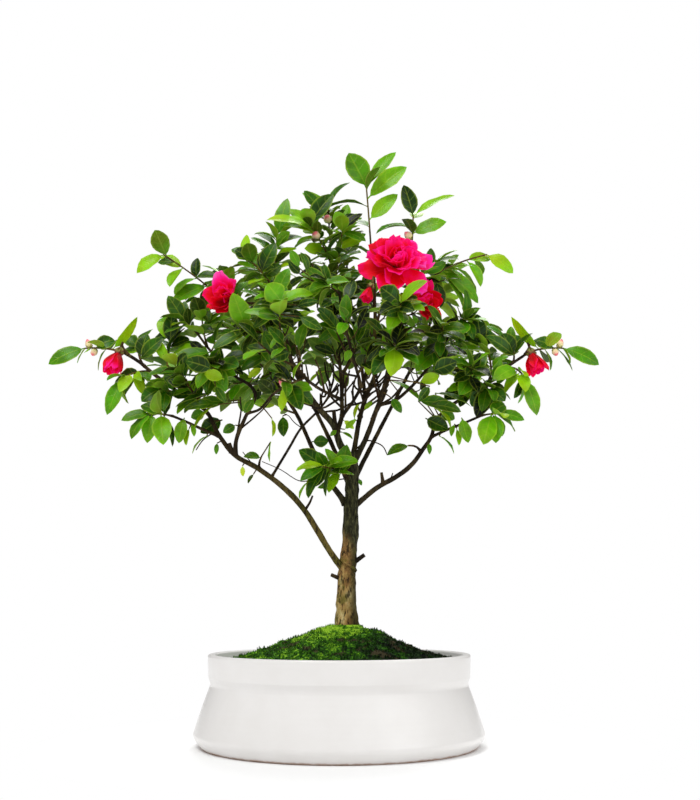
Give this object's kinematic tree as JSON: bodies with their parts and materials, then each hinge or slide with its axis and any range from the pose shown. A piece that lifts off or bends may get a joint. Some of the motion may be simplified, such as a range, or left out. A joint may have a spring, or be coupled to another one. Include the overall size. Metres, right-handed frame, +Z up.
{
  "type": "camellia bonsai",
  "caption": "Small flowering tree with a bare trunk, a wide crown of glossy leaves and crimson blooms, rooted in a moss-covered mound of soil in a low round flared pot.",
  "frame": {"origin": "middle of the pot's flat underside, on the surface that it stands on", "axes": "+Z up along the pot's axis, -Y towards the side that shows the crown widest with the open bloom in front, +X to the viewer's right"},
  "size_m": [0.569, 0.2958, 0.616],
  "materials": {
    "glazed_white": "satin",
    "gravel": "matte",
    "soil": "matte",
    "moss": "matte",
    "bark": "matte",
    "leaf": "satin",
    "petal": "matte"
  },
  "bodies": {
    "root": {"pot": "glazed_white", "drainage_gravel": "gravel", "soil": "soil", "moss": "moss", "tree_wood": "bark", "open_bloom": "petal", "left_bloom": "petal", "right_bloom": "petal", "left_tip_bloom": "petal", "right_tip_bloom": "petal", "hanging_bloom": "petal", "shoot_far_left": "leaf", "shoot_left_upright": "leaf", "shoot_left_drooping": "leaf", "shoot_left_shoulder": "leaf", "shoot_left_under": "leaf", "shoot_left_hem": "leaf", "shoot_left_flank": "leaf", "shoot_left_crest": "leaf", "shoot_left_bloom_leaves": "leaf", "shoot_left_inner": "leaf", "shoot_left_bright": "leaf", "shoot_limb_tuft": "leaf", "shoot_left_outlier": "leaf", "shoot_left_back_crest": "leaf", "shoot_left_back_low": "leaf", "shoot_crossing_tip": "leaf", "shoot_crown_left": "leaf", "shoot_crown_left_high": "leaf", "shoot_crown_left_front": "leaf", "shoot_crown_left_low": "leaf", "shoot_crown_mid_high": "leaf", "shoot_crown_mid_bud": "leaf", "shoot_crown_mid_left": "leaf", "shoot_crown_mid_front": "leaf", "shoot_top": "leaf", "shoot_top_right": "leaf", "shoot_crown_right": "leaf", "shoot_right_outlier": "leaf", "shoot_right_crest": "leaf", "shoot_right_inner": "leaf", "shoot_far_right": "leaf", "shoot_right_upright": "leaf", "shoot_right_drooping": "leaf", "shoot_right_shoulder": "leaf", "shoot_right_under": "leaf", "shoot_right_hem": "leaf", "shoot_right_flank": "leaf", "shoot_right_tuft": "leaf", "shoot_trunk_tuft": "leaf", "shoot_front_left_tip": "leaf", "shoot_front_mid_tip": "leaf", "shoot_front_right_tip": "leaf", "shoot_front_right_low": "leaf", "shoot_back_left_tip": "leaf", "shoot_back_left_side": "leaf", "shoot_back_mid_tip": "leaf", "shoot_back_mid_low": "leaf", "shoot_back_right_tip": "leaf", "shoot_back_right_side": "leaf"}
  },
  "joints": []
}
